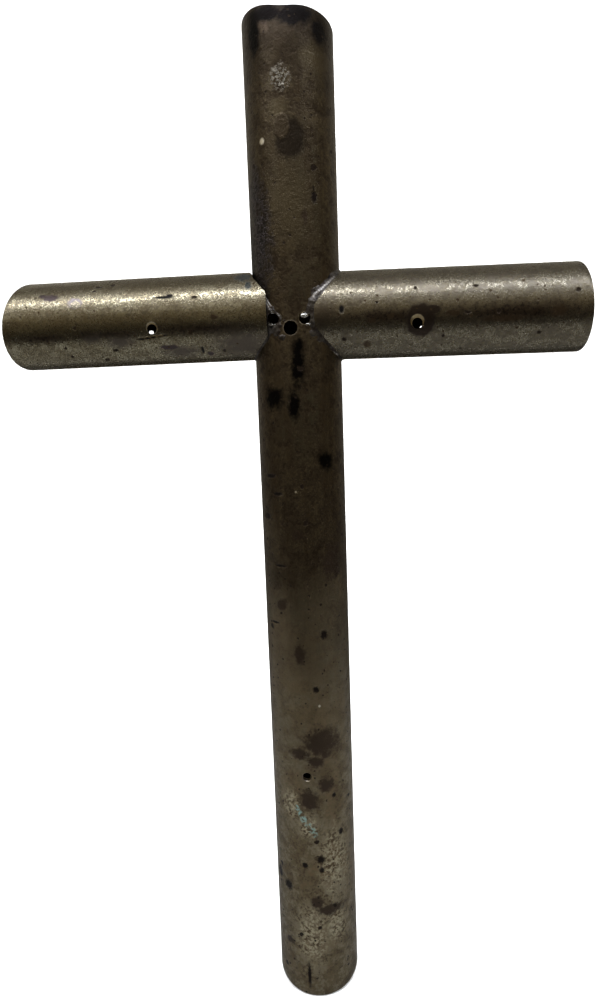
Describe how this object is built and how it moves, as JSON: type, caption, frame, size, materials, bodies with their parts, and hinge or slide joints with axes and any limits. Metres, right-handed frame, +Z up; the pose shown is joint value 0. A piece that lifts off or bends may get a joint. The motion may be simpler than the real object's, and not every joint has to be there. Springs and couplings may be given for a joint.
{
  "type": "tubular brass cross",
  "caption": "Plain cross of round brass tubes with soldered saddle joints, open ends and drilled screw and pin holes, made to be fixed upright.",
  "frame": {"origin": "back of the upright tube at the height where the axes of the tubes cross", "axes": "+Z up along the upright towards its head, -Y out of the front, +X towards the right arm as seen from the front"},
  "size_m": [0.165, 0.0264, 0.2919],
  "materials": {
    "upright_brass": "dark olive-brown patina, worn and pitted",
    "arm_brass": "dull golden brass, patchy patina",
    "solder": "dull grey soft solder, smeared and lumpy"
  },
  "bodies": {
    "root": {"upright_tube": "upright_brass", "left_arm_tube": "arm_brass", "right_arm_tube": "arm_brass", "left_solder_seam": "solder", "right_solder_seam": "solder"}
  },
  "joints": []
}
